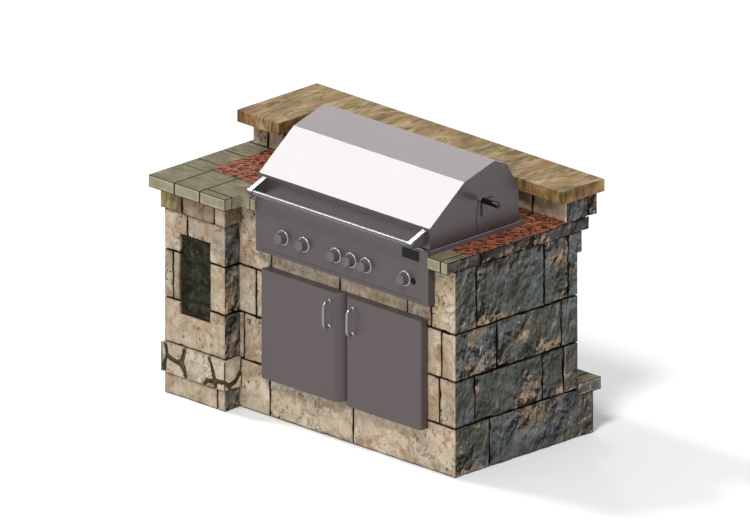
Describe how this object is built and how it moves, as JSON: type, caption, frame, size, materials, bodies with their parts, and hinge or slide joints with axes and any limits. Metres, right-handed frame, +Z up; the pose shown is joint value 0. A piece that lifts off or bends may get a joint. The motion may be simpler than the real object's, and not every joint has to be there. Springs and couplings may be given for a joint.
{
  "type": "outdoor kitchen island",
  "caption": "Stone-faced outdoor kitchen island with a raised bar top, granite counter, built-in gas grill with hinged hood and rotisserie, and double access doors.",
  "frame": {"origin": "on the ground, under the middle of the island's overall box", "axes": "+X to the user's right along the grill front, +Y from the grill front towards the bar at the back, +Z up"},
  "size_m": [1.6212, 0.9474, 1.222],
  "materials": {
    "concrete_block": "rough grey concrete",
    "sandstone": "matt, rough-faced tan sandstone",
    "dark_stone": "matt, split-faced blue-grey stone with rust streaks",
    "coping_stone": "matt khaki stone tile",
    "granite": "polished terracotta granite with dark flecks",
    "onyx": "honed veined tan stone",
    "knob_plastic": "satin metal-look cap",
    "black_plastic": "black",
    "bumper_rubber": "matt black",
    "galvanised_steel": "galvanised",
    "pipe_paint": "black pipe paint",
    "valve_brass": "satin",
    "magnet_plastic": "matt black case",
    "bright_steel": "bright satin",
    "sheet_steel": "brushed stainless"
  },
  "bodies": {
    "island": {"back_shield": "sheet_steel", "back_stones": "sandstone", "bar_top": "onyx", "bar_wall_end_stones": "dark_stone", "bar_wall_stones": "sandstone", "block_core": "concrete_block", "burner_valves": "valve_brass", "burners": "sheet_steel", "control_panel": "sheet_steel", "cooking_grates": "bright_steel", "counter_board": "concrete_block", "counter_edge_tiles": "coping_stone", "counter_side_apron": "dark_stone", "counter_support_angle": "galvanised_steel", "door_frame": "sheet_steel", "door_lintel": "concrete_block", "door_magnets": "magnet_plastic", "firebox": "sheet_steel", "flame_tamers": "sheet_steel", "foot_ledge_slabs": "coping_stone", "front_stones": "sandstone", "gas_manifold": "pipe_paint", "granite_counter": "granite", "grill_trim": "sheet_steel", "hood_bumpers": "bumper_rubber", "hood_pivot_brackets": "sheet_steel", "igniter_housing": "black_plastic", "knob_bezels": "bright_steel", "left_end_stones": "dark_stone", "pillar_cap_stones": "sandstone", "pillar_front_stones": "sandstone", "pillar_rubble_stones": "sandstone", "pillar_side_stones": "dark_stone", "pillar_slate_panel": "dark_stone", "right_end_stones": "dark_stone", "spit_brackets": "sheet_steel", "tray_runners": "sheet_steel", "warming_rack": "bright_steel"},
    "hood": {"hood_shell": "sheet_steel", "hood_cover_plate": "sheet_steel", "hood_handle": "bright_steel", "hood_handle_brackets": "sheet_steel", "hood_pivots": "bright_steel"},
    "spit": {"spit_rod": "bright_steel", "spit_grip": "black_plastic", "spit_forks": "bright_steel"},
    "drip_tray": {"drip_tray": "sheet_steel"},
    "door_left": {"door_left": "sheet_steel", "door_left_pull": "bright_steel", "door_left_pins": "bright_steel"},
    "door_right": {"door_right": "sheet_steel", "door_right_pull": "bright_steel", "door_right_pins": "bright_steel"},
    "igniter": {"igniter_button": "black_plastic"},
    "knob_1": {"knob_1": "knob_plastic"},
    "knob_2": {"knob_2": "knob_plastic"},
    "knob_3": {"knob_3": "knob_plastic"},
    "knob_4": {"knob_4": "knob_plastic"},
    "knob_5": {"knob_5": "knob_plastic"},
    "knob_6": {"knob_6": "knob_plastic"}
  },
  "joints": [
    {"name": "hood_hinge", "type": "hinge", "parent": "island", "child": "hood", "pos_m": [0.18055, 0.09755, 1.005], "axis": [-1, 0, 0], "range_deg": [0, 62]},
    {"name": "spit_spin", "type": "hinge", "parent": "island", "child": "spit", "pos_m": [0.18055, -0.09245, 1.083], "axis": [1, 0, 0], "continuous": true},
    {"name": "drip_tray_slide", "type": "slide", "parent": "island", "child": "drip_tray", "axis": [0, -1, 0], "range_m": [0, 0.3]},
    {"name": "door_left_hinge", "type": "hinge", "parent": "island", "child": "door_left", "pos_m": [-0.25905, -0.35545, 0.40315], "axis": [0, 0, -1], "range_deg": [0, 95]},
    {"name": "door_right_hinge", "type": "hinge", "parent": "island", "child": "door_right", "pos_m": [0.62015, -0.35545, 0.40315], "axis": [0, 0, 1], "range_deg": [0, 95]},
    {"name": "igniter_push", "type": "slide", "parent": "island", "child": "igniter", "axis": [0, 1, 0], "range_m": [0, 0.003], "stiffness_N_per_m": 900, "springref_m": -0.002},
    {"name": "knob_1_turn", "type": "hinge", "parent": "island", "child": "knob_1", "pos_m": [-0.15205, -0.38245, 0.789], "axis": [0, -1, 0], "range_deg": [0, 180]},
    {"name": "knob_2_turn", "type": "hinge", "parent": "island", "child": "knob_2", "pos_m": [-0.03585, -0.38245, 0.789], "axis": [0, -1, 0], "range_deg": [0, 180]},
    {"name": "knob_3_turn", "type": "hinge", "parent": "island", "child": "knob_3", "pos_m": [0.14325, -0.38245, 0.789], "axis": [0, -1, 0], "range_deg": [0, 180]},
    {"name": "knob_4_turn", "type": "hinge", "parent": "island", "child": "knob_4", "pos_m": [0.22915, -0.38245, 0.789], "axis": [0, -1, 0], "range_deg": [0, 180]},
    {"name": "knob_5_turn", "type": "hinge", "parent": "island", "child": "knob_5", "pos_m": [0.31335, -0.38245, 0.789], "axis": [0, -1, 0], "range_deg": [0, 180]},
    {"name": "knob_6_turn", "type": "hinge", "parent": "island", "child": "knob_6", "pos_m": [0.53165, -0.38245, 0.789], "axis": [0, -1, 0], "range_deg": [0, 180]}
  ]
}
